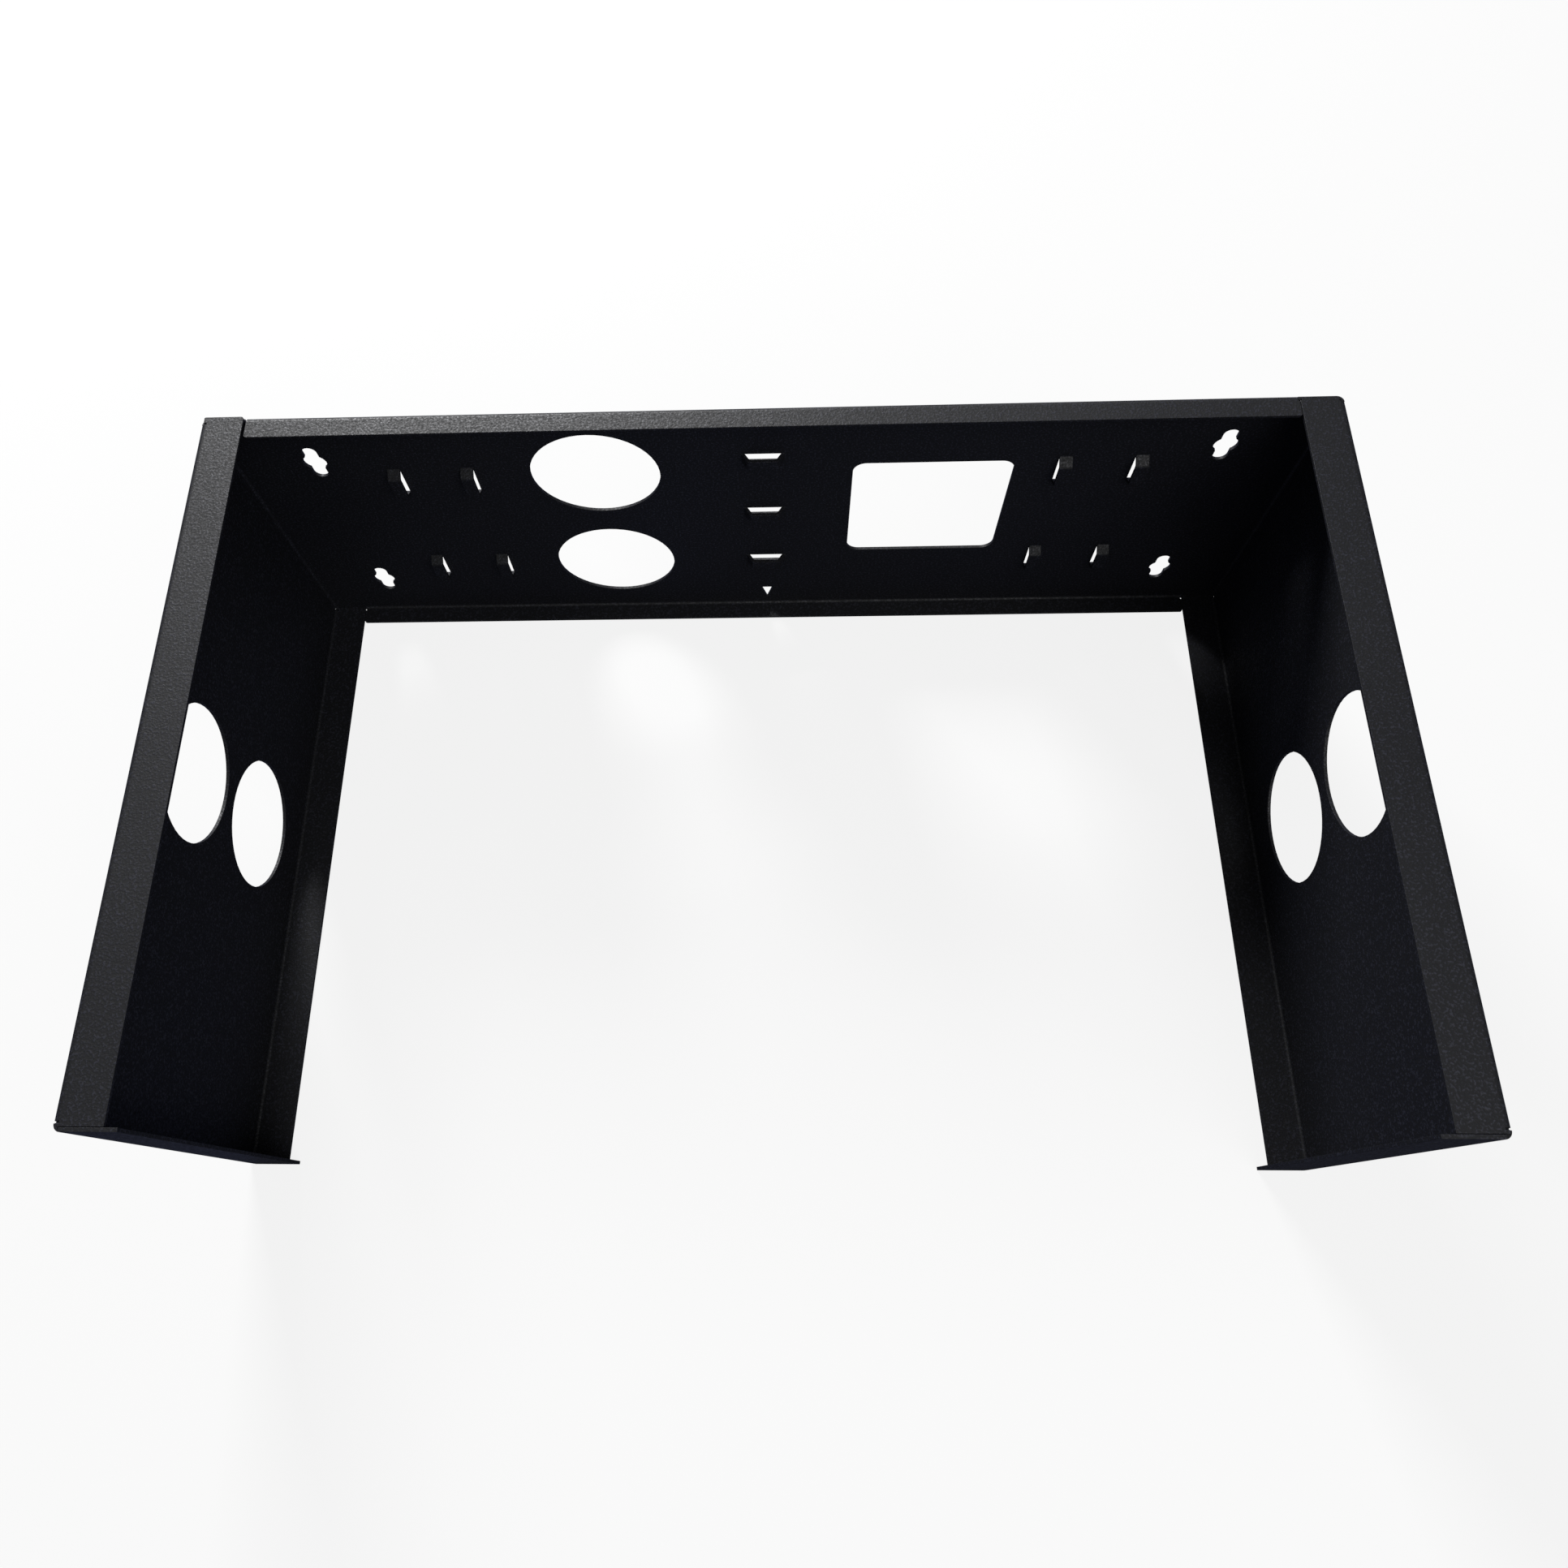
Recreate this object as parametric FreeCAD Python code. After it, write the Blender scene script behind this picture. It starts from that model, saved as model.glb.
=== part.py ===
"""Sheet metal chassis: one folded sheet of steel, open at the front, for hanging on a wall.

A back wall and two side walls are folded from one blank. Every wall has a flange folded
inwards along its top and its bottom edge, and each side wall has a third flange folded
inwards at its front end. All sizes are in millimetres.

Frame: X to the right along the back wall, Y towards the wall it hangs on, Z up. The origin
is in the middle of the footprint, level with the outer face of the bottom flanges.
"""
import FreeCAD, Part
import math
import os
from FreeCAD import Vector

# ---- sheet ----------------------------------------------------------------------------
SHEET = 1.5                 # thickness of the sheet
BEND = 1.5                  # inside radius of every long fold
ROOT = 1.0                  # straight sheet left between the wall belt and a fold

# ---- box ------------------------------------------------------------------------------
WIDTH = 508.0               # over the side walls
DEPTH = 309.0               # back wall's outer face to front flanges' outer face
HEIGHT = 177.8              # over the top and bottom flanges
SIDE_FLANGE = 19.5          # top and bottom flanges of the side walls, over the fold
BACK_FLANGE = 11.3          # top and bottom flanges of the back wall, over the fold
FRONT_FLANGE = 24.7         # front flanges, over the fold

# ---- corners --------------------------------------------------------------------------
BUTT_GAP = 0.3              # between a flange and the edge that it closes on
TEAR_SLIT = 0.8             # relief slit at the end of a fold
SEAM_TIGHT = 0.4            # seam between a back flange and a side flange
SEAM_OPEN = 1.5             # the same seam at the top left, which stands open
SEAM_HOLE = 1.6             # round relief at the root of each seam
CORNER_SHARP = 0.6          # rounding of a side flange's outer rear corner
CORNER_EASE = 1.2           # rounding of the flanges' corners at the seams

# ---- openings in the back wall, placed from its middle -----------------------------------
KNOCKOUT = 62.7             # conduit hole, 2 inch trade size
KNOCKOUT_X = -81.1
KNOCKOUT_Z = 0.8            # middle of the pair
KNOCKOUT_PITCH = 80.0
CABLE_X = 81.1              # square cable opening
CABLE_Z = 6.9
CABLE_WIDE = 76.5
CABLE_HIGH = 78.0
CABLE_CORNER = 6.4
KEY_HEAD = 11.1             # wall keyhole: round middle that a screw head passes
KEY_SLOT = 6.9              # and a slot above and below it for the shank
KEY_LENGTH = 22.9
KEY_X = 213.6               # half of the distance between the two columns of keyholes
KEY_PITCH = 109.9
MARK_WIDE = 6.5             # three-cornered locating hole near the bottom fold
MARK_HIGH = 11.3
MARK_TOP = 18.4             # height of its level edge above the bottom

# ---- openings in the side walls -----------------------------------------------------------
SIDE_HOLE_BACK = 152.0      # from the back wall's outer face
SIDE_HOLE_PITCH = 70.6

# ---- lanced bridges for cable ties ----------------------------------------------------------
TIE_LENGTH = 19.0           # along the bridge, where it leaves the wall
TIE_FLAT = 12.6             # its raised flat
TIE_WIDE = 6.0
TIE_RAISE = 4.8             # how far it stands into the box
TIE_BEND = 0.8              # inside radius of its four small folds
TIE_ROW_X = 142.3           # first upright bridge, each side of the middle
TIE_ROW_STEP = 35.5         # and on to the next one out
TIE_ROW_COUNT = 2
TIE_ROW_Z = -1.5            # middle of the two rows of upright bridges
TIE_ROW_PITCH = 79.2
TIE_COLUMN_Z = 6.8          # middle of the column of level bridges
TIE_COLUMN_PITCH = 45.3
TIE_COLUMN_COUNT = 3

# ---- derived ------------------------------------------------------------------------------
HALF = WIDTH / 2
REAR = DEPTH / 2            # Y of the back wall's outer face
FRONT = -DEPTH / 2          # Y of the front flanges' outer face
MIDDLE = HEIGHT / 2
FOLD = BEND + SHEET         # outside radius of a fold
BELT = FOLD + ROOT          # height at which the walls give way to the folds
CAP = SHEET + BUTT_GAP      # height at which a corner stops under the flange above it
PUNCH = 3 * SHEET           # depth of every cutting tool, well through the wall
NO_LENGTH = 1e-6
RIGHT, LEFT = 1, -1
TOP, BOTTOM = 1, -1


def sheet_section(path, radius, plane):
    """Face of a bent strip of sheet whose outer face follows path, with the sheet on its left.

    plane maps the path's two coordinates to a point in space.
    """
    def unit(a, b):
        length = math.dist(a, b)
        return (b[0] - a[0]) / length, (b[1] - a[1]) / length

    def shift(point, direction, distance):
        return point[0] + direction[0] * distance, point[1] + direction[1] * distance

    def left(direction):
        return -direction[1], direction[0]

    edges = []

    def line(start, end):
        if math.dist(start, end) > NO_LENGTH:
            edges.append(Part.LineSegment(plane(*start), plane(*end)).toShape())

    def arc(start, middle, end):
        edges.append(Part.Arc(plane(*start), plane(*middle), plane(*end)).toShape())

    # The two faces of the strip, offset 0 and SHEET from the path, with one arc at each fold.
    ends = []
    for offset in (0, SHEET):
        start = shift(path[0], left(unit(path[0], path[1])), offset)
        ends.append(start)
        for before, corner, after in zip(path, path[1:], path[2:]):
            come, go = unit(before, corner), unit(corner, after)
            turn = math.atan2(come[0] * go[1] - come[1] * go[0],
                              come[0] * go[0] + come[1] * go[1])
            toward = 1 if turn > 0 else -1
            path_radius = radius + SHEET if turn > 0 else radius
            tangent = path_radius * math.tan(abs(turn) / 2)
            enter, leave = shift(corner, come, -tangent), shift(corner, go, tangent)
            centre = shift(enter, left(come), toward * path_radius)
            enter, leave = shift(enter, left(come), offset), shift(leave, left(go), offset)
            line(start, enter)
            arc(enter, shift(centre, unit(centre, corner), path_radius - toward * offset), leave)
            start = leave
        end = shift(path[-1], left(unit(path[-2], path[-1])), offset)
        line(start, end)
        ends.append(end)
    line(ends[0], ends[2])
    line(ends[1], ends[3])
    return Part.Face(Part.Wire(Part.sortEdges(edges)[0]))


def box_between(low, high):
    size = Vector(*high) - Vector(*low)
    return Part.makeBox(size.x, size.y, size.z, Vector(*low))


def placed(shape, side, end):
    """Copy of a piece drawn at the right and the top, for the side and the end asked for."""
    if side == LEFT:
        shape = shape.mirror(Vector(0, 0, 0), Vector(1, 0, 0))
    if end == BOTTOM:
        shape = shape.mirror(Vector(0, 0, MIDDLE), Vector(0, 0, 1))
    return shape


# ---- folded sheet -------------------------------------------------------------------------
def wall_belt():
    """The three walls and the front flanges, between the folds along top and bottom."""
    path = [(HALF - FRONT_FLANGE, FRONT), (HALF, FRONT), (HALF, REAR),
            (-HALF, REAR), (-HALF, FRONT), (-HALF + FRONT_FLANGE, FRONT)]
    section = sheet_section(path, BEND, lambda x, y: Vector(x, y, BELT))
    return section.extrude(Vector(0, 0, HEIGHT - 2 * BELT))


def rounded(plate, corners):
    """Level plate whose upright edges at these corners are rounded, each by its own radius."""
    for x, y, radius in corners:
        upright = [edge for edge in plate.Edges
                   if math.dist(edge.CenterOfMass[:2], (x, y)) < NO_LENGTH]
        plate = plate.makeFillet(radius, upright)
    return plate


def side_flange(dressed):
    """Top flange of the right wall: its fold, and its flat, which covers both upright folds.

    The rear end is square and level with the back wall. A dressed one is set back by one
    sheet and follows the upright fold below it.
    """
    fold_front = FRONT + FOLD + TEAR_SLIT
    fold_rear = REAR - FOLD - TEAR_SLIT
    path = [(HALF, HEIGHT - BELT), (HALF, HEIGHT), (HALF - SIDE_FLANGE, HEIGHT)]
    section = sheet_section(path, BEND, lambda x, z: Vector(x, fold_front, z))
    fold = section.extrude(Vector(0, fold_rear - fold_front, 0))
    inner, outer = HALF - SIDE_FLANGE, HALF - SHEET
    rear = REAR - SHEET if dressed else REAR
    flat = box_between((inner, FRONT + CAP, HEIGHT - SHEET), (outer, rear, HEIGHT))
    flat = rounded(flat, [(outer, rear, FOLD if dressed else CORNER_SHARP),
                          (inner, rear, CORNER_EASE)])
    bay = box_between((HALF - FOLD, fold_front - TEAR_SLIT, HEIGHT - BELT),
                      (HALF, fold_rear + TEAR_SLIT, HEIGHT + SHEET))
    return [fold, flat.cut(bay)]


def corner_posts():
    """The right wall's two upright folds, carried on to close up under its top flange."""
    rear = [(HALF, REAR - FOLD), (HALF, REAR), (HALF - SIDE_FLANGE, REAR)]
    front = [(HALF - FRONT_FLANGE, FRONT), (HALF, FRONT), (HALF, FRONT + FOLD)]
    posts = [sheet_section(path, BEND, lambda x, y: Vector(x, y, HEIGHT - BELT))
             .extrude(Vector(0, 0, BELT - CAP)) for path in (rear, front)]
    front_flat = box_between((HALF - FRONT_FLANGE, FRONT, HEIGHT - BELT),
                             (HALF - FOLD, FRONT + SHEET, HEIGHT))
    return posts + [front_flat]


def back_flange(left_seam, right_seam):
    """Top flange of the back wall, between the two side flanges."""
    start = -HALF + SIDE_FLANGE + left_seam
    end = HALF - SIDE_FLANGE - right_seam
    path = [(REAR, HEIGHT - BELT), (REAR, HEIGHT), (REAR - BACK_FLANGE, HEIGHT)]
    section = sheet_section(path, BEND, lambda y, z: Vector(start, y, z))
    mouth = REAR - BACK_FLANGE
    return rounded(section.extrude(Vector(end - start, 0, 0)),
                   [(start, mouth, CORNER_EASE), (end, mouth, CORNER_EASE)])


def seam_relief(seam):
    """Round relief at the root of the seam between the top flanges, at the right."""
    centre = Vector(HALF - SIDE_FLANGE - seam / 2, REAR - FOLD, HEIGHT - BELT)
    return Part.makeCylinder(SEAM_HOLE / 2, 2 * BELT, centre)


# ---- openings -----------------------------------------------------------------------------
def on_back(x, z):
    """Point just outside the back wall's outer face, from the wall's middle."""
    return Vector(x, REAR + SHEET, MIDDLE + z)


def round_hole(x, z, diameter):
    return Part.makeCylinder(diameter / 2, PUNCH, on_back(x, z), Vector(0, -1, 0))


def square_hole(x, z, wide, high):
    low = on_back(x - wide / 2, z - high / 2) - Vector(0, PUNCH, 0)
    return Part.makeBox(wide, PUNCH, high, low)


def conduit_holes():
    """A pair of conduit holes in the back wall, and a pair through both side walls."""
    back = [round_hole(KNOCKOUT_X, KNOCKOUT_Z + up * KNOCKOUT_PITCH / 2, KNOCKOUT)
            for up in (1, -1)]
    side = [Part.makeCylinder(KNOCKOUT / 2, WIDTH + 2 * SHEET,
                              Vector(-HALF - SHEET, REAR - SIDE_HOLE_BACK,
                                     MIDDLE + up * SIDE_HOLE_PITCH / 2), Vector(1, 0, 0))
            for up in (1, -1)]
    return back + side


def cable_opening():
    block = square_hole(CABLE_X, CABLE_Z, CABLE_WIDE, CABLE_HIGH)
    corners = [edge for edge in block.Edges if abs(edge.Length - PUNCH) < NO_LENGTH]
    return block.makeFillet(CABLE_CORNER, corners)


def keyhole(x, z):
    """Round middle with a slot above and below it, so that the box hangs either way up."""
    reach = (KEY_LENGTH - KEY_SLOT) / 2
    slot = square_hole(x, z, KEY_SLOT, 2 * reach)
    ends = [round_hole(x, z + up * reach, KEY_SLOT) for up in (1, -1)]
    return round_hole(x, z, KEY_HEAD).fuse([slot] + ends)


def keyholes():
    return [keyhole(side * KEY_X, up * KEY_PITCH / 2) for side in (LEFT, RIGHT) for up in (1, -1)]


def locating_hole():
    """Three-cornered hole on the middle line, point down, close to the bottom fold."""
    top = MARK_TOP - MIDDLE
    corners = [on_back(-MARK_WIDE / 2, top), on_back(MARK_WIDE / 2, top),
               on_back(0, top - MARK_HIGH)]
    face = Part.Face(Part.makePolygon(corners + corners[:1]))
    return face.extrude(Vector(0, -PUNCH, 0))


# ---- lanced bridges for cable ties -----------------------------------------------------------
def tie_places():
    """Middle of each bridge, from the back wall's middle, and the angle that it runs at."""
    places = []
    for i in range(TIE_COLUMN_COUNT):
        step = i - (TIE_COLUMN_COUNT - 1) / 2
        places.append((0, TIE_COLUMN_Z + step * TIE_COLUMN_PITCH, 0))
    for side in (LEFT, RIGHT):
        for column in range(TIE_ROW_COUNT):
            x = side * (TIE_ROW_X + column * TIE_ROW_STEP)
            places += [(x, TIE_ROW_Z + up * TIE_ROW_PITCH / 2, 90) for up in (1, -1)]
    return places


def tie_bridge(x, z, angle):
    """The slot of one bridge, and the strip that was pushed out of it into the box."""
    half, flat = TIE_LENGTH / 2, TIE_FLAT / 2
    slope = math.atan2(TIE_RAISE, half - flat)
    end = half + (TIE_BEND + SHEET) * math.tan(slope / 2)
    path = [(-end, 0), (-half, 0), (-flat, TIE_RAISE), (flat, TIE_RAISE), (half, 0), (end, 0)]
    centre = Vector(x, REAR, MIDDLE + z)
    low = centre - Vector(0, 0, TIE_WIDE / 2)
    section = sheet_section(path, TIE_BEND, lambda s, rise: low + Vector(s, -rise, 0))
    strip = section.extrude(Vector(0, 0, TIE_WIDE))
    slot = square_hole(x, z, 2 * end, TIE_WIDE)
    for shape in (slot, strip):
        shape.rotate(centre, Vector(0, 1, 0), angle)
    return slot, strip


def chassis():
    pieces, reliefs = [], []
    for end in (TOP, BOTTOM):
        seams = {side: SEAM_OPEN if (side, end) == (LEFT, TOP) else SEAM_TIGHT
                 for side in (LEFT, RIGHT)}
        for side in (LEFT, RIGHT):
            dressed = (side, end) == (RIGHT, TOP)
            for piece in side_flange(dressed) + corner_posts():
                pieces.append(placed(piece, side, end))
            reliefs.append(placed(seam_relief(seams[side]), side, end))
        pieces.append(placed(back_flange(seams[LEFT], seams[RIGHT]), RIGHT, end))
    folded = wall_belt().fuse(pieces).removeSplitter()
    slots, strips = zip(*[tie_bridge(*place) for place in tie_places()])
    openings = conduit_holes() + [cable_opening(), locating_hole()] + keyholes()
    punched = folded.cut(reliefs + openings + list(slots))
    return punched.fuse(list(strips)).removeSplitter()


def main():
    shape = chassis()
    if shape.ShapeType == "Compound" and len(shape.Solids) == 1:
        shape = shape.Solids[0]
    os.makedirs("parts", exist_ok=True)
    shape.exportStep("parts/chassis.step")
    box = shape.BoundBox
    print("chassis", "valid", shape.isValid(), "solids", len(shape.Solids),
          "faces", len(shape.Faces), "volume", round(shape.Volume, 1),
          "box", round(box.XLength, 3), round(box.YLength, 3), round(box.ZLength, 3))


main()
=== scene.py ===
"""Sheet metal chassis: the black powder coat, a plain studio and the camera."""

import math

import bmesh
import bpy
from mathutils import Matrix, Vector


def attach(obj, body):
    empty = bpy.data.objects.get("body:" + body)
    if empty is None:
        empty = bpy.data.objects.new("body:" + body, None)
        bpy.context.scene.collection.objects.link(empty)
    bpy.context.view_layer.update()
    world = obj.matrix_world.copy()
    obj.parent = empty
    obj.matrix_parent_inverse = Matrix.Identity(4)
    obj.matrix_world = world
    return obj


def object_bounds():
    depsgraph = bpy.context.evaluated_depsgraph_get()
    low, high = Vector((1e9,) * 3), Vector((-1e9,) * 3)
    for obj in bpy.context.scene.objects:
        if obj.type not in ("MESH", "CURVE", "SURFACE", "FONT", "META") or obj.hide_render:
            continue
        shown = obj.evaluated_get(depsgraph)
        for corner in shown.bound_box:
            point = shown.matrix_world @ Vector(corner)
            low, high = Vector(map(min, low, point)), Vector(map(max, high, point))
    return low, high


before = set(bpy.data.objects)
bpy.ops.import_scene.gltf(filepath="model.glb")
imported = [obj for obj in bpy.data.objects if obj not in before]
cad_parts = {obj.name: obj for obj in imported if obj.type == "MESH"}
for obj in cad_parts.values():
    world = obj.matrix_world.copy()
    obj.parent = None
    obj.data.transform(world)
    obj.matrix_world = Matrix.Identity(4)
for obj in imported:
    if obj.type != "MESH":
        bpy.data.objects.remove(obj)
CAD_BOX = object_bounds()
PART = "chassis"
COAT = "black_powder_coat"
HALF_WIDTH = CAD_BOX[1].x
HALF_DEPTH = CAD_BOX[1].y
HALF_HEIGHT = (CAD_BOX[1].z - CAD_BOX[0].z) / 2
MIDDLE = CAD_BOX[0].z + HALF_HEIGHT

# Lengths in the coat's texture, in metres.
RIPPLE = 0.009              # from one slow wave of the coat to the next
RIPPLE_DEPTH = 0.00006
PATCH = 0.12                # width of a patch that has flowed out more, or less
NIB_STEP = 0.022            # from one nib of grit to the next
NIB_HEIGHT = 0.0001
PATCH_ROUGHNESS = 0.04      # how far a patch's roughness lies from the mean

BITE = 0.1                  # how far the coat holds into the steel, as a share of the gap
ARC_STEPS = 6               # along the quarter fold in a slit
RING_STEPS = 20             # round a relief hole

FLOOR_DROP = 0.0002         # floor below the part, so that the two don't share a face
PAPER_GLOW = 0.85           # share of the floor's white that needs no lamp
PALE = (0.9, 0.9, 0.9, 1)
WHITE = (1, 1, 1, 1)

bl_info = {
    "name": "Sheet Metal Chassis",
    "version": (1, 0, 0),
    "blender": (4, 5, 0),
    "location": "View3D > Sidebar > Chassis",
    "description": "Coats the folded steel chassis and sets up its studio",
    "category": "Object",
}


def linear(hex_code):
    """The linear colour of an sRGB hex value."""
    parts = [int(hex_code[i:i + 2], 16) / 255 for i in (0, 2, 4)]
    return tuple(c / 12.92 if c <= 0.04045 else ((c + 0.055) / 1.055) ** 2.4
                 for c in parts)


def add_node(tree, kind, sockets=None, **settings):
    """Adds a node. sockets maps an input's name or place to a value or to
    the output that feeds it."""
    node = tree.nodes.new(kind)
    for name, value in settings.items():
        setattr(node, name, value)
    for name, value in (sockets or {}).items():
        if isinstance(value, bpy.types.NodeSocket):
            tree.links.new(value, node.inputs[name])
        else:
            node.inputs[name].default_value = value
    return node


class CoatSettings(bpy.types.PropertyGroup):
    """The paint on the folded sheet."""

    colour: bpy.props.FloatVectorProperty(
        name="Colour", description="Black pigment of the coat",
        subtype="COLOR", size=3, min=0, max=1, default=linear("101116"))
    speck: bpy.props.FloatVectorProperty(
        name="Speck", description="Paler grains in the black",
        subtype="COLOR", size=3, min=0, max=1, default=linear("34353E"))
    rubbed: bpy.props.FloatVectorProperty(
        name="Rubbed Edge", description="Coat that is thin on a cut edge",
        subtype="COLOR", size=3, min=0, max=1, default=linear("3A3B40"))
    roughness: bpy.props.FloatProperty(
        name="Roughness", description="Spread of the sheen",
        subtype="FACTOR", min=0, max=1, default=0.56)
    grain: bpy.props.FloatProperty(
        name="Grain", description="Width of one grain of the fine texture",
        subtype="DISTANCE", unit="LENGTH", min=0.0002, default=0.001)
    grain_depth: bpy.props.FloatProperty(
        name="Grain Depth", description="Height of the fine texture",
        subtype="DISTANCE", unit="LENGTH", min=0, default=0.00016)
    sparkle: bpy.props.FloatProperty(
        name="Sparkle", description="How much the sheen differs from grain to grain",
        subtype="FACTOR", min=0, max=0.3, default=0.17)
    edge: bpy.props.FloatProperty(
        name="Edge", description="Radius that the coat gives a cut edge",
        subtype="DISTANCE", unit="LENGTH", min=0, default=0.0003)


class ReliefSettings(bpy.types.PropertyGroup):
    """The small reliefs at the corners, and the coat that has run into them."""

    fold: bpy.props.FloatProperty(
        name="Fold", description="Radius at the middle of the folded sheet",
        subtype="DISTANCE", unit="LENGTH", min=0.0001, default=0.00225)
    outside: bpy.props.FloatProperty(
        name="Outside", description="Outside radius of a fold",
        subtype="DISTANCE", unit="LENGTH", min=0.0001, default=0.003)
    root: bpy.props.FloatProperty(
        name="Root", description="Straight sheet between a slit's end and its fold",
        subtype="DISTANCE", unit="LENGTH", min=0, default=0.001)
    slit: bpy.props.FloatProperty(
        name="Slit", description="Width of the slit at the end of a fold",
        subtype="DISTANCE", unit="LENGTH", min=0, default=0.0008)
    flange: bpy.props.FloatProperty(
        name="Flange", description="Width of a side flange, over its fold",
        subtype="DISTANCE", unit="LENGTH", min=0.001, default=0.0195)
    seam: bpy.props.FloatProperty(
        name="Seam", description="Gap between a back flange and a side flange",
        subtype="DISTANCE", unit="LENGTH", min=0, default=0.0004)
    hole: bpy.props.FloatProperty(
        name="Hole", description="Diameter of the relief at a seam's root",
        subtype="DISTANCE", unit="LENGTH", min=0, default=0.0016)
    pinhole: bpy.props.FloatProperty(
        name="Pinhole", description="Diameter that the coat leaves open in it",
        subtype="DISTANCE", unit="LENGTH", min=0, default=0.0007)
    thick: bpy.props.FloatProperty(
        name="Thick", description="Thickness of the coat where it meets the steel",
        subtype="DISTANCE", unit="LENGTH", min=0, default=0.0007)
    thin: bpy.props.FloatProperty(
        name="Thin", description="Thickness of the coat in the middle of a slit",
        subtype="DISTANCE", unit="LENGTH", min=0, default=0.0003)


class StudioSettings(bpy.types.PropertyGroup):
    """The floor, the lamps and the camera."""

    floor: bpy.props.FloatVectorProperty(
        name="Floor", description="Colour of the floor under the part",
        subtype="COLOR", size=3, min=0, max=1, default=linear("3C4260"))
    floor_size: bpy.props.FloatProperty(
        name="Floor Size", description="Side of the square floor",
        subtype="DISTANCE", unit="LENGTH", min=1, default=12)
    key_power: bpy.props.FloatProperty(
        name="Key Power", description="Power of the lamp behind, in watts",
        unit="POWER", min=0, default=42)
    key_size: bpy.props.FloatProperty(
        name="Key Size", description="Side of the square lamp behind",
        subtype="DISTANCE", unit="LENGTH", min=0.05, default=0.6)
    key_place: bpy.props.FloatVectorProperty(
        name="Key Place", description="Centre of the lamp behind",
        subtype="TRANSLATION", unit="LENGTH", size=3, default=(-0.6, 1.55, 1.15))
    front_power: bpy.props.FloatProperty(
        name="Front Power", description="Power of the lamp in front, in watts",
        unit="POWER", min=0, default=10)
    front_size: bpy.props.FloatProperty(
        name="Front Size", description="Side of the square lamp in front",
        subtype="DISTANCE", unit="LENGTH", min=0.05, default=1.4)
    front_place: bpy.props.FloatVectorProperty(
        name="Front Place", description="Centre of the lamp in front",
        subtype="TRANSLATION", unit="LENGTH", size=3, default=(0.65, -1.05, 1.35))
    room: bpy.props.FloatProperty(
        name="Room Light", description="Even light from all sides",
        min=0, default=0.09)
    mirrored: bpy.props.FloatProperty(
        name="Mirrored", description="Share of the white room that a sheen shows",
        subtype="FACTOR", min=0, max=1, default=0.02)
    lens: bpy.props.FloatProperty(
        name="Lens", description="Focal length on a 36 mm wide sensor",
        subtype="DISTANCE_CAMERA", min=5, default=28.2)
    camera_place: bpy.props.FloatVectorProperty(
        name="Camera Place", description="The camera, from the part's origin",
        subtype="TRANSLATION", unit="LENGTH", size=3,
        default=(0.00812, -0.19100, 0.62446))
    camera_turn: bpy.props.FloatVectorProperty(
        name="Camera Turn", description="The camera's turn about X, Y and Z",
        subtype="EULER", unit="ROTATION", size=3,
        default=tuple(math.radians(a) for a in (22.978, 2.570, 0.490)))
    camera_shift: bpy.props.FloatVectorProperty(
        name="Camera Shift", description="Shift of the frame, as a share of its width",
        size=2, default=(0.0357, -0.0349))


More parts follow.
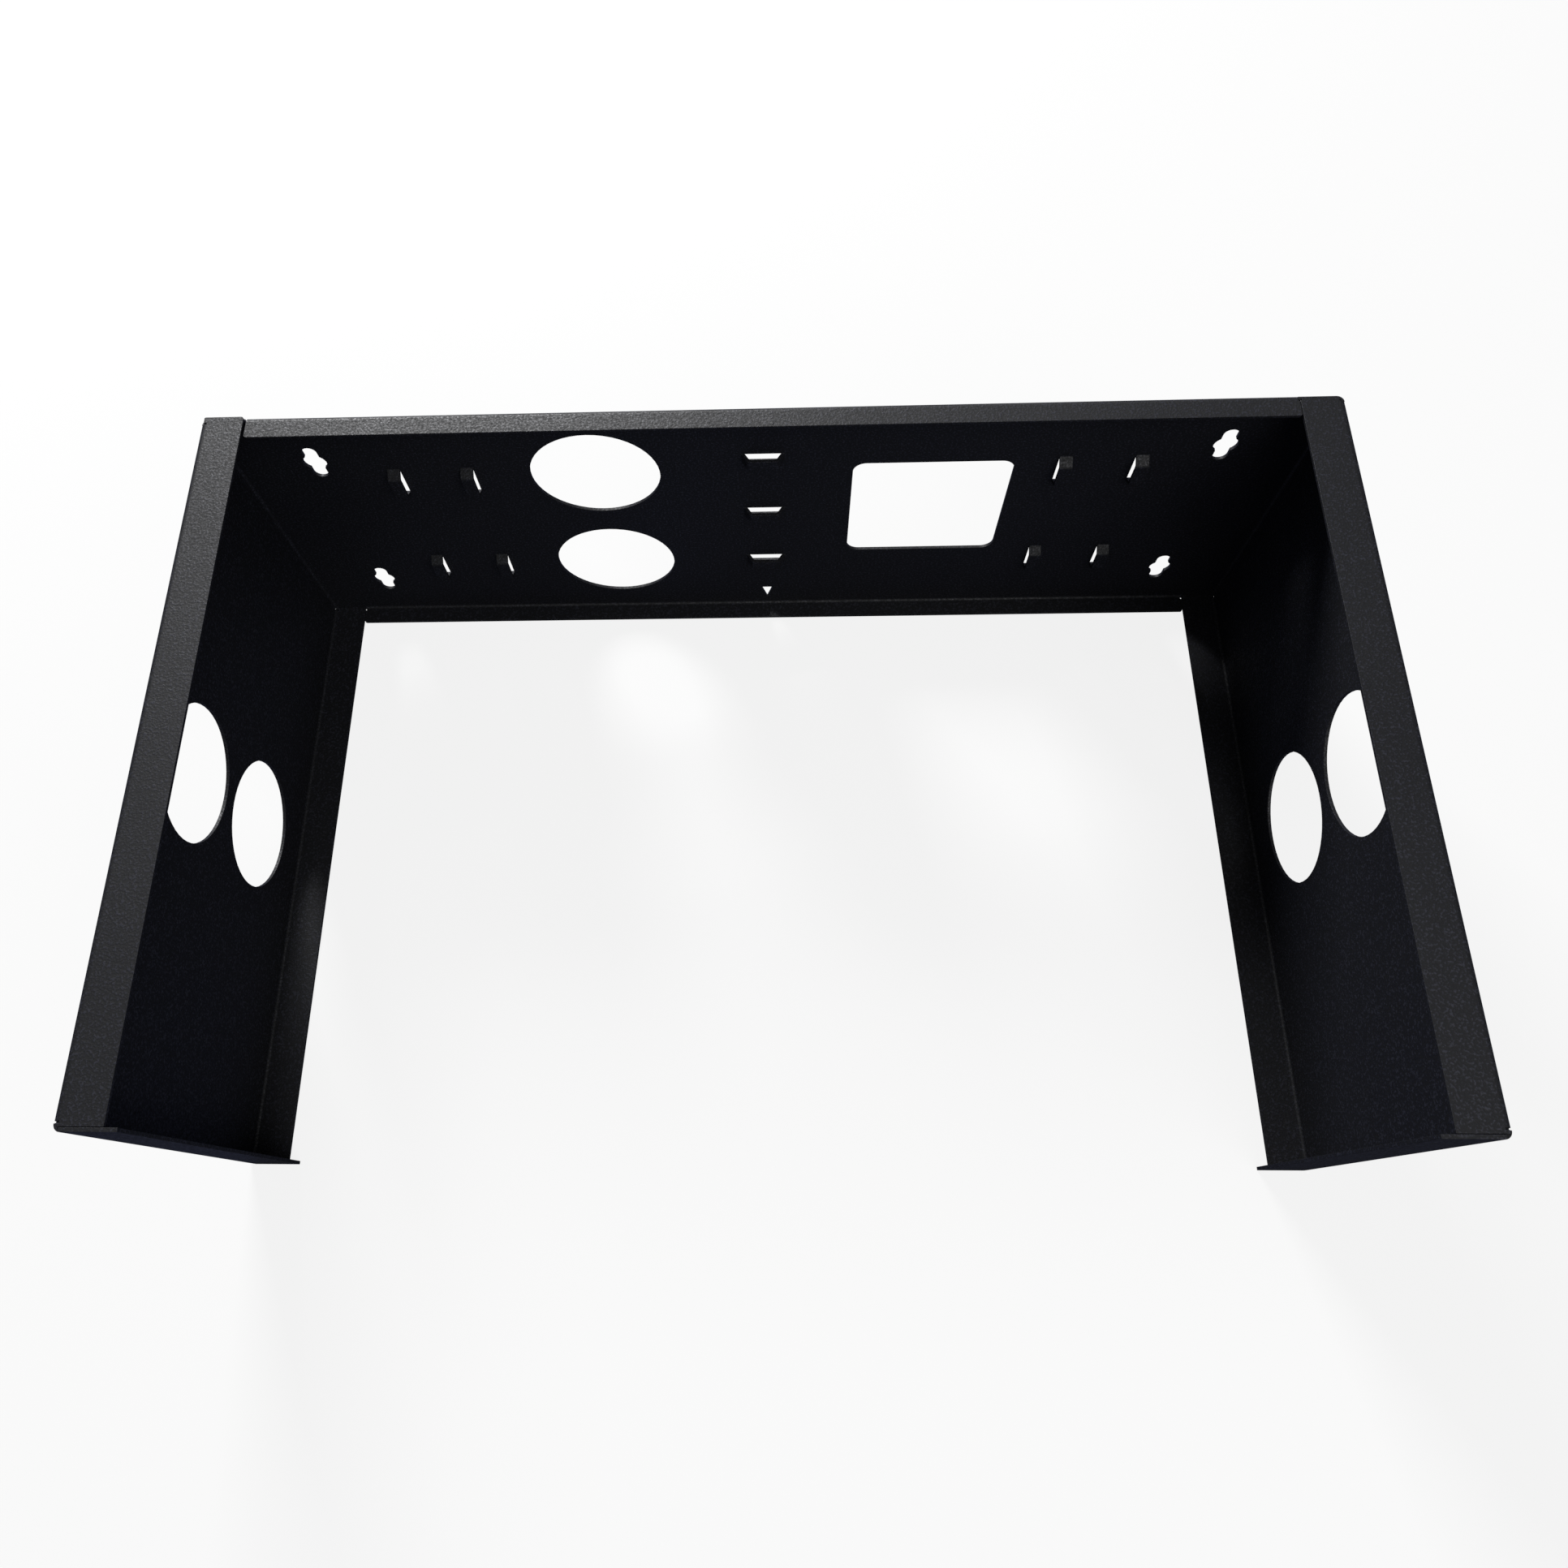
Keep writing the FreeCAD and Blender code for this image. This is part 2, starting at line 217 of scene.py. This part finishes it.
def powder_coat(coat):
    """Black polyester powder coat, sprayed dry on the folded sheet and baked.
    The powder flows out only in part, so the coat is satin, with a fine even
    grain, a slow ripple and a few nibs. It draws thin on cut edges."""
    material = bpy.data.materials.new(COAT)
    material.use_nodes = True
    tree = material.node_tree
    tree.nodes.clear()
    place = add_node(tree, "ShaderNodeTexCoord").outputs["Object"]

    # The grain is drawn about twice as wide as the real 0.5 mm, to show.
    grain = add_node(tree, "ShaderNodeTexNoise", {
        "Vector": place, "Scale": 1 / coat.grain, "Detail": 2, "Roughness": 0.6})
    ripple = add_node(tree, "ShaderNodeTexNoise", {
        "Vector": place, "Scale": 1 / RIPPLE, "Detail": 1})
    cloud = add_node(tree, "ShaderNodeTexNoise", {
        "Vector": place, "Scale": 1 / PATCH, "Detail": 3, "Roughness": 0.55})
    nib = add_node(tree, "ShaderNodeTexVoronoi", {
        "Vector": place, "Scale": 1 / NIB_STEP})
    nibs = add_node(tree, "ShaderNodeMapRange", {
        "Value": nib.outputs["Distance"], "From Min": 0.03, "From Max": 0.055,
        "To Min": 1, "To Max": 0}, interpolation_type="SMOOTHSTEP")

    # The coat rounds a cut edge and is thin on it.
    flat = add_node(tree, "ShaderNodeNewGeometry").outputs["True Normal"]
    round_edge = add_node(tree, "ShaderNodeBevel", {"Radius": coat.edge}, samples=4)
    facing = add_node(tree, "ShaderNodeVectorMath", {
        0: round_edge.outputs["Normal"], 1: flat}, operation="DOT_PRODUCT")
    edge = add_node(tree, "ShaderNodeMapRange", {
        "Value": facing.outputs["Value"], "From Min": 0.985, "From Max": 0.80})
    thin = add_node(tree, "ShaderNodeMath", {
        0: edge.outputs["Result"], 1: grain.outputs["Fac"]}, operation="MULTIPLY")

    specks = add_node(tree, "ShaderNodeMapRange", {
        "Value": grain.outputs["Fac"], "From Min": 0.52, "From Max": 0.66})
    body = add_node(tree, "ShaderNodeMix", {
        0: specks.outputs["Result"], 6: (*coat.colour, 1), 7: (*coat.speck, 1)},
        data_type="RGBA")
    rubbed = add_node(tree, "ShaderNodeMix", {
        0: thin.outputs[0], 6: body.outputs[2], 7: (*coat.rubbed, 1)},
        data_type="RGBA")

    # Patches of the coat have flowed out smoother than others, and so have grains.
    patch = add_node(tree, "ShaderNodeMapRange", {
        "Value": cloud.outputs["Fac"], "From Min": 0.3, "From Max": 0.7,
        "To Min": coat.roughness - PATCH_ROUGHNESS,
        "To Max": coat.roughness + PATCH_ROUGHNESS})
    flow = add_node(tree, "ShaderNodeMapRange", {
        "Value": grain.outputs["Fac"], "From Min": 0.3, "From Max": 0.7,
        "To Min": coat.sparkle, "To Max": -coat.sparkle})
    sheen = add_node(tree, "ShaderNodeMath", {
        0: patch.outputs["Result"], 1: flow.outputs["Result"]}, operation="ADD")

    rippled = add_node(tree, "ShaderNodeBump", {
        "Height": ripple.outputs["Fac"], "Distance": RIPPLE_DEPTH,
        "Normal": round_edge.outputs["Normal"]})
    grained = add_node(tree, "ShaderNodeBump", {
        "Height": grain.outputs["Fac"], "Distance": coat.grain_depth,
        "Normal": rippled.outputs["Normal"]})
    nibbed = add_node(tree, "ShaderNodeBump", {
        "Height": nibs.outputs["Result"], "Distance": NIB_HEIGHT,
        "Normal": grained.outputs["Normal"]})

    surface = add_node(tree, "ShaderNodeBsdfPrincipled", {
        "Base Color": rubbed.outputs[2], "Roughness": sheen.outputs[0],
        "IOR": 1.5, "Normal": nibbed.outputs["Normal"]})
    add_node(tree, "ShaderNodeOutputMaterial", {
        "Surface": surface.outputs["BSDF"]})
    return material


class CHASSIS_OT_coat(bpy.types.Operator):
    """Coats the whole folded sheet in black powder"""

    bl_idname = "chassis.coat"
    bl_label = "Powder Coat"

    def execute(self, context):
        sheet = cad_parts[PART]
        material = powder_coat(context.scene.chassis_coat)
        sheet.data.materials.clear()
        sheet.data.materials.append(material)
        return {"FINISHED"}


def add_skin(mesh, loops, closed):
    """Joins loops of points into one skin. closed joins the last loop to the
    first, and otherwise both ends are capped."""
    rings = [[mesh.verts.new(point) for point in loop] for loop in loops]
    following = rings[1:] + rings[:1] if closed else rings[1:]
    for ring, after in zip(rings, following):
        for i in range(len(ring)):
            j = (i + 1) % len(ring)
            mesh.faces.new((ring[i], ring[j], after[j], after[i]))
    if not closed:
        mesh.faces.new(rings[0])
        mesh.faces.new(rings[-1])


def slit_web(mesh, relief, side, fore, end):
    """The web of coat in the slit where a side flange's fold ends, thick at
    the steel and hollow in the middle."""
    near = HALF_DEPTH - relief.outside
    centre_x = HALF_WIDTH - relief.outside
    centre_z = HALF_HEIGHT - relief.outside
    profile = [(fore * (near + share * relief.slit), depth / 2) for share, depth in (
        (BITE, relief.thick), (-0.5, relief.thin), (-1 - BITE, relief.thick))]
    profile += [(y, -depth) for y, depth in reversed(profile)]
    # The web rises straight from the slit's end, and then follows the fold.
    turns = [(0, -relief.root)]
    turns += [(math.pi / 2 * i / ARC_STEPS, 0) for i in range(ARC_STEPS + 1)]
    loops = []
    for turn, along in turns:
        loops.append([(
            side * (centre_x + (relief.fold + depth) * math.cos(turn)), y,
            MIDDLE + end * (centre_z + along + (relief.fold + depth) * math.sin(turn)))
            for y, depth in profile])
    add_skin(mesh, loops, closed=False)


def seam_ring(mesh, relief, side, end):
    """The ring of coat in the round relief at a seam's root, which leaves a
    pinhole in its middle."""
    level = MIDDLE + end * (HALF_HEIGHT - relief.outside + relief.fold)
    x = side * (HALF_WIDTH - relief.flange - relief.seam / 2)
    y = HALF_DEPTH - relief.outside
    outer = (0.5 + BITE / 2) * relief.hole
    inner = relief.pinhole / 2
    profile = [(outer, relief.thick / 2), (inner, relief.thin / 2),
               (inner, -relief.thin / 2), (outer, -relief.thick / 2)]
    loops = []
    for i in range(RING_STEPS):
        turn = 2 * math.pi * i / RING_STEPS
        loops.append([(x + radius * math.cos(turn), y + radius * math.sin(turn),
                       level + height) for radius, height in profile])
    add_skin(mesh, loops, closed=True)


class CHASSIS_OT_reliefs(bpy.types.Operator):
    """Lays the coat that has run into the small reliefs at the corners"""

    bl_idname = "chassis.reliefs"
    bl_label = "Coat in the Reliefs"

    def execute(self, context):
        relief = context.scene.chassis_reliefs
        shell = bmesh.new()
        for side, end in ((1, 1), (1, -1), (-1, 1), (-1, -1)):
            for fore in (1, -1):
                slit_web(shell, relief, side, fore, end)
            # The seam at the top left stands open, and its relief with it.
            if (side, end) != (-1, 1):
                seam_ring(shell, relief, side, end)
        bmesh.ops.recalc_face_normals(shell, faces=shell.faces)
        mesh = bpy.data.meshes.new("coat_in_reliefs")
        shell.to_mesh(mesh)
        shell.free()
        mesh.materials.append(bpy.data.materials[COAT])
        for face in mesh.polygons:
            face.use_smooth = True
        coat = bpy.data.objects.new("coat_in_reliefs", mesh)
        context.scene.collection.objects.link(coat)
        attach(coat, "root")
        return {"FINISHED"}


def whiteness(tree, studio):
    """How white the room is to a ray. The camera sees it wholly white, also
    through glass. A sheen sees a share of that, because a black satin coat
    washes out to grey in a room that is white all round."""
    rays = add_node(tree, "ShaderNodeLightPath").outputs
    seen = add_node(tree, "ShaderNodeMath", {
        0: rays["Is Camera Ray"], 1: rays["Is Transmission Ray"]},
        operation="MAXIMUM")
    sheen = add_node(tree, "ShaderNodeMath", {
        0: rays["Is Glossy Ray"], 1: studio.mirrored}, operation="MULTIPLY")
    return add_node(tree, "ShaderNodeMath", {
        0: seen.outputs[0], 1: sheen.outputs[0]}, operation="MAXIMUM").outputs[0]


def floor_paint(studio):
    """Matt floor paint, rolled on. It is white to the camera, with the part's
    shadow on it, and a dark blue grey to the light that falls on the part."""
    material = bpy.data.materials.new("matt_floor_paint")
    material.use_nodes = True
    tree = material.node_tree
    tree.nodes.clear()
    grey = add_node(tree, "ShaderNodeBsdfDiffuse", {
        "Color": (*studio.floor, 1)})
    pale = add_node(tree, "ShaderNodeBsdfDiffuse", {
        "Color": PALE})
    white = add_node(tree, "ShaderNodeEmission", {"Strength": 1.0})
    paper = add_node(tree, "ShaderNodeMixShader", {
        0: PAPER_GLOW, 1: pale.outputs[0], 2: white.outputs[0]})
    both = add_node(tree, "ShaderNodeMixShader", {
        0: whiteness(tree, studio), 1: grey.outputs[0], 2: paper.outputs[0]})
    add_node(tree, "ShaderNodeOutputMaterial", {"Surface": both.outputs[0]})
    return material


class CHASSIS_OT_studio(bpy.types.Operator):
    """Lays the floor and sets the lamps, the room light and the camera"""

    bl_idname = "chassis.studio"
    bl_label = "Studio"

    def execute(self, context):
        studio = context.scene.chassis_studio
        collection = context.scene.collection
        lowest = CAD_BOX[0].z

        half = studio.floor_size / 2
        corners = [(-half, -half), (half, -half), (half, half), (-half, half)]
        mesh = bpy.data.meshes.new("floor")
        mesh.from_pydata([(x, y, lowest - FLOOR_DROP) for x, y in corners], [],
                         [(0, 1, 2, 3)])
        mesh.materials.append(floor_paint(studio))
        floor = bpy.data.objects.new("floor", mesh)
        collection.objects.link(floor)

        middle = (CAD_BOX[0] + CAD_BOX[1]) / 2
        for name, power, size, place in (
                ("key_lamp", studio.key_power, studio.key_size, studio.key_place),
                ("front_lamp", studio.front_power, studio.front_size, studio.front_place)):
            lamp = bpy.data.lights.new(name, "AREA")
            lamp.energy = power
            lamp.size = size
            holder = bpy.data.objects.new(name, lamp)
            holder.location = place
            aim = middle - holder.location
            holder.rotation_euler = aim.to_track_quat("-Z", "Y").to_euler()
            collection.objects.link(holder)

        world = bpy.data.worlds.new("room")
        world.use_nodes = True
        tree = world.node_tree
        tree.nodes.clear()
        level = add_node(tree, "ShaderNodeMapRange", {
            "Value": whiteness(tree, studio), "To Min": studio.room, "To Max": 1})
        sky = add_node(tree, "ShaderNodeBackground", {
            "Color": WHITE, "Strength": level.outputs["Result"]})
        add_node(tree, "ShaderNodeOutputWorld", {"Surface": sky.outputs[0]})
        context.scene.world = world

        camera = bpy.data.cameras.new("camera")
        camera.sensor_width = 36
        camera.lens = studio.lens
        camera.shift_x, camera.shift_y = studio.camera_shift
        camera.clip_start, camera.clip_end = 0.01, 50
        view = bpy.data.objects.new("camera", camera)
        view.location = studio.camera_place
        view.rotation_euler = studio.camera_turn
        collection.objects.link(view)
        context.scene.camera = view

        context.scene.view_settings.view_transform = "Standard"
        return {"FINISHED"}


class CHASSIS_PT_panel(bpy.types.Panel):
    """Lists the sizes, colours and steps"""

    bl_idname = "CHASSIS_PT_panel"
    bl_label = "Chassis"
    bl_space_type = "VIEW_3D"
    bl_region_type = "UI"
    bl_category = "Chassis"

    def draw(self, context):
        scene = context.scene
        for group, step in ((scene.chassis_coat, CHASSIS_OT_coat),
                            (scene.chassis_reliefs, CHASSIS_OT_reliefs),
                            (scene.chassis_studio, CHASSIS_OT_studio)):
            box = self.layout.box()
            for name in group.__annotations__:
                box.prop(group, name)
            box.operator(step.bl_idname)


CLASSES = (CoatSettings, ReliefSettings, StudioSettings, CHASSIS_OT_coat,
           CHASSIS_OT_reliefs, CHASSIS_OT_studio, CHASSIS_PT_panel)


def register():
    for cls in CLASSES:
        bpy.utils.register_class(cls)
    bpy.types.Scene.chassis_coat = bpy.props.PointerProperty(type=CoatSettings)
    bpy.types.Scene.chassis_reliefs = bpy.props.PointerProperty(type=ReliefSettings)
    bpy.types.Scene.chassis_studio = bpy.props.PointerProperty(type=StudioSettings)


def unregister():
    del bpy.types.Scene.chassis_studio
    del bpy.types.Scene.chassis_reliefs
    del bpy.types.Scene.chassis_coat
    for cls in reversed(CLASSES):
        bpy.utils.unregister_class(cls)


def main():
    register()
    bpy.ops.chassis.coat()
    bpy.ops.chassis.reliefs()
    bpy.ops.chassis.studio()


if __name__ == "__main__":
    main()
